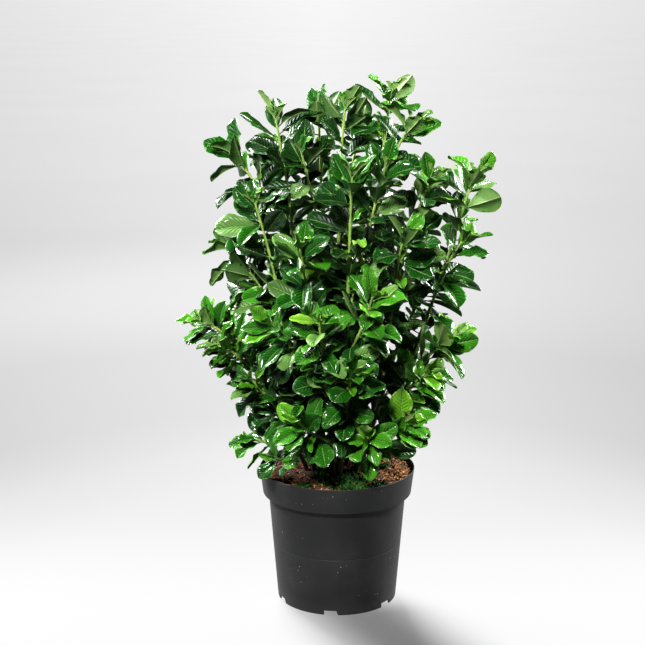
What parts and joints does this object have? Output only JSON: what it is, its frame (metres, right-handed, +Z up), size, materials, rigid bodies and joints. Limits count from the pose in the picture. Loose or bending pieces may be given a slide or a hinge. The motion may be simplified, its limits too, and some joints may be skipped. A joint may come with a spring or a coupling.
{
  "type": "potted cherry laurel",
  "caption": "Bushy evergreen shrub with glossy oval leaves on upright stems, rooted in soil in a round tapered nursery pot with a deep collar.",
  "frame": {"origin": "on the pot's axis, at the ground that the pot's base stands on", "axes": "+Z up along the pot's axis; the plant's front, which the picture shows, looks along -Y; +X to the viewer's right"},
  "size_m": [0.5679, 0.4878, 0.9461],
  "materials": {
    "pot_plastic": "satin moulded plastic, dark charcoal grey",
    "potting_soil": "loose dark peat mix with tan fibres, bark chips and white grains",
    "laurel_leaf": "glossy dark green leaves with matte pale undersides, on green to brown stems"
  },
  "bodies": {
    "root": {"nursery_pot": "pot_plastic", "potting_soil": "potting_soil", "stem_top_left": "laurel_leaf", "stem_upper_left": "laurel_leaf", "stem_left_spray": "laurel_leaf", "stem_top_middle": "laurel_leaf", "stem_top_centre": "laurel_leaf", "stem_top_right": "laurel_leaf", "stem_right": "laurel_leaf", "stem_right_centre": "laurel_leaf", "stem_front_long": "laurel_leaf", "stem_front_left": "laurel_leaf", "stem_front_middle": "laurel_leaf", "stem_front_low": "laurel_leaf", "stem_right_low": "laurel_leaf", "stem_low_left": "laurel_leaf", "stem_low_right": "laurel_leaf", "stem_back_left": "laurel_leaf", "stem_back": "laurel_leaf", "stem_back_right": "laurel_leaf", "stem_back_middle": "laurel_leaf", "stem_back_low_left": "laurel_leaf", "stem_back_low_right": "laurel_leaf"}
  },
  "joints": []
}
